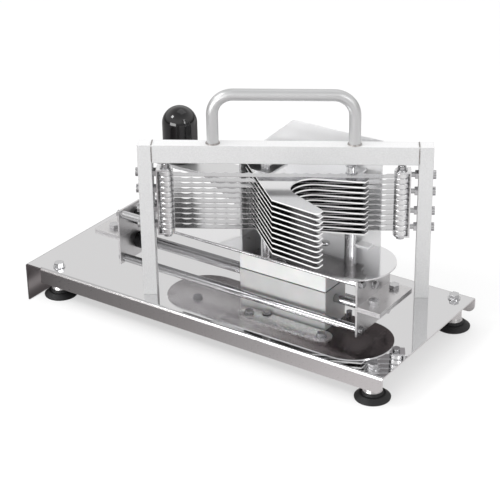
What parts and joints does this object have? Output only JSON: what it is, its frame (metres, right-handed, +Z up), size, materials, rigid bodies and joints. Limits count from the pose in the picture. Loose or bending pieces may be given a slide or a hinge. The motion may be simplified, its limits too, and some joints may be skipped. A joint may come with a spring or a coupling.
{
  "type": "push-through vegetable slicer",
  "caption": "Bench slicer with a slanted blade gate, a knob-driven comb carriage sliding on guide rods, and a polished base sheet on suction feet.",
  "frame": {"origin": "inner face of the bench-edge lip at mid depth, at bench level, the underside of the feet", "axes": "+X along the rods in the pushing direction, +Y towards the back, +Z up"},
  "size_m": [0.4253, 0.1924, 0.257],
  "materials": {
    "mirror_steel": "mirror-polished stainless sheet",
    "polished_steel": "polished stainless",
    "brushed_steel": "brushed stainless",
    "satin_steel": "bead-blasted satin stainless tube",
    "blade_steel": "ground blade steel",
    "fastener_steel": "bright fasteners",
    "black_rubber": "matt black rubber",
    "black_knob": "gloss black moulded knob",
    "white_plastic": "white slide plastic"
  },
  "bodies": {
    "frame": {"base_plate": "mirror_steel", "rubber_feet": "black_rubber", "foot_collars": "brushed_steel", "foot_bolts": "fastener_steel", "gate_left_post": "satin_steel", "gate_right_post": "satin_steel", "gate_top_bar": "satin_steel", "carry_handle": "satin_steel", "post_screws": "fastener_steel", "holder_left": "polished_steel", "holder_right": "polished_steel", "pin_left": "fastener_steel", "pin_right": "fastener_steel", "spacers_left": "polished_steel", "spacers_right": "polished_steel", "blade_01": "blade_steel", "blade_02": "blade_steel", "blade_03": "blade_steel", "blade_04": "blade_steel", "blade_05": "blade_steel", "blade_06": "blade_steel", "blade_07": "blade_steel", "blade_08": "blade_steel", "blade_09": "blade_steel", "blade_10": "blade_steel", "blade_11": "blade_steel", "tension_screws_left": "fastener_steel", "tension_screws_right": "fastener_steel", "tension_nuts": "fastener_steel", "rod_front": "polished_steel", "rod_mid": "polished_steel", "rod_back": "polished_steel", "bumper": "black_rubber", "bracket_left": "brushed_steel", "bracket_right": "brushed_steel", "bracket_bolts": "fastener_steel", "rod_screws": "fastener_steel"},
    "carriage": {"fin_01": "polished_steel", "fin_02": "polished_steel", "fin_03": "polished_steel", "fin_04": "polished_steel", "fin_05": "polished_steel", "fin_06": "polished_steel", "fin_07": "polished_steel", "fin_08": "polished_steel", "fin_09": "polished_steel", "fin_10": "polished_steel", "fin_11": "polished_steel", "fin_spacers": "polished_steel", "tie_bolts": "fastener_steel", "tie_nuts": "fastener_steel", "back_wall": "polished_steel", "handle_bracket": "polished_steel", "handle_stud": "fastener_steel", "knob": "black_knob", "tray": "polished_steel", "slide_block": "white_plastic", "strap": "polished_steel", "tray_screws": "fastener_steel"}
  },
  "joints": [
    {"name": "pusher_slide", "type": "slide", "parent": "frame", "child": "carriage", "axis": [1, 0, 0], "range_m": [-0.135, 0]}
  ]
}
